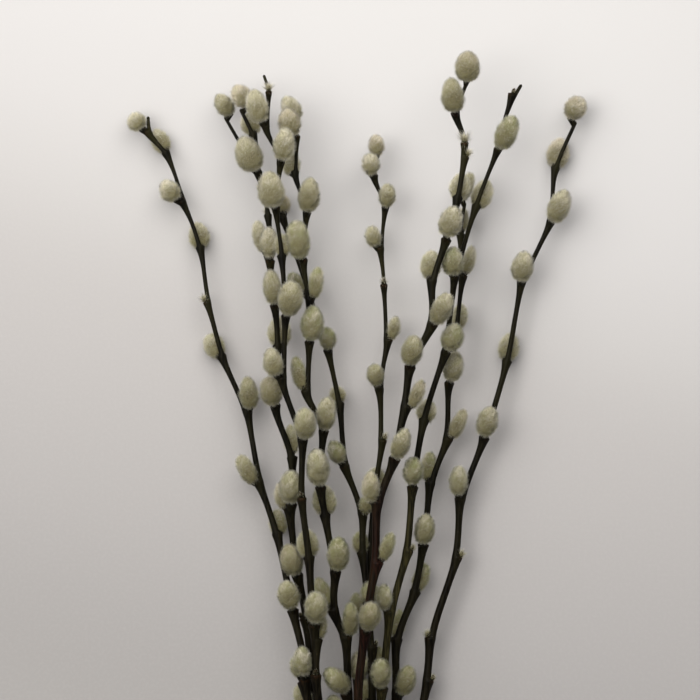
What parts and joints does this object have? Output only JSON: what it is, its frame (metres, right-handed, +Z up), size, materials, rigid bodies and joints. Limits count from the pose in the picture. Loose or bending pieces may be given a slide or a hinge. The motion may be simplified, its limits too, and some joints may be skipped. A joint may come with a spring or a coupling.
{
  "type": "pussy willow bunch",
  "caption": "Tied bunch of cut pussy willow stems with furry catkins, fanned out and lying on a flat surface.",
  "frame": {"origin": "on the surface that the bunch lies on, under the middle of the tie", "axes": "+Y along the stems from their cut feet to their tips, +Z up from the surface, +X to the right of the fan seen from above"},
  "size_m": [0.231, 0.5174, 0.0526],
  "materials": {
    "bark": "smooth dark olive-brown willow bark, satin",
    "red_bark": "smooth dark red-brown willow bark, satin",
    "catkin_fur": "silky cream and grey-green catkin hairs",
    "twine": "plain jute twine, matt"
  },
  "bodies": {
    "root": {"stem_01": "bark", "stem_02": "bark", "stem_03": "bark", "stem_04": "bark", "stem_05": "bark", "stem_06": "bark", "stem_07": "red_bark", "stem_08": "bark", "stem_09": "bark", "stem_10": "bark", "tie": "twine"}
  },
  "joints": []
}
